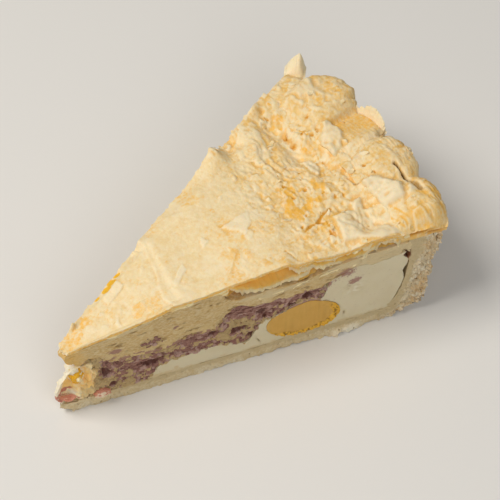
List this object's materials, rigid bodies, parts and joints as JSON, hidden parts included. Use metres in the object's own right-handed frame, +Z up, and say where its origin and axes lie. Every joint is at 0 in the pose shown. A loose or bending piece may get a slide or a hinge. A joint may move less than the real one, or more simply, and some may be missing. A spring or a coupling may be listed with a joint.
{
  "type": "bacon and egg slice",
  "caption": "Wedge of bacon and egg pie: flaky golden lid with a crimped rim over dough, bacon and egg in a crumbly shortcrust case, standing on its flat base.",
  "frame": {"origin": "centre of the slice's bounding box, on the flat underside of the base crust", "axes": "+X from the broken tip to the crimped rim along the middle of the wedge; +Z up from the base crust; the cut face seen in the picture looks towards -Y"},
  "size_m": [0.1426, 0.0847, 0.0521],
  "materials": {
    "shortcrust": "dry, crumbly baked crust",
    "flaky_pastry": "crisp flaky sheets, golden at the blisters",
    "soft_dough": "soft, dense and slightly oily",
    "bacon": "cooked shredded meat",
    "pink_bacon": "moist cured meat",
    "egg_white": "smooth set egg white",
    "egg_yolk": "firm mealy yolk",
    "soft_yolk": "bright moist yolk"
  },
  "bodies": {
    "root": {"pastry_case": "shortcrust", "pastry_lid": "flaky_pastry", "dough_layer": "soft_dough", "bacon_layer": "bacon", "bacon_scrap": "bacon", "egg_white": "egg_white", "egg_yolk": "egg_yolk", "tip_egg": "egg_white", "tip_yolk": "soft_yolk", "tip_bacon": "pink_bacon", "front_bacon": "pink_bacon"}
  },
  "joints": []
}
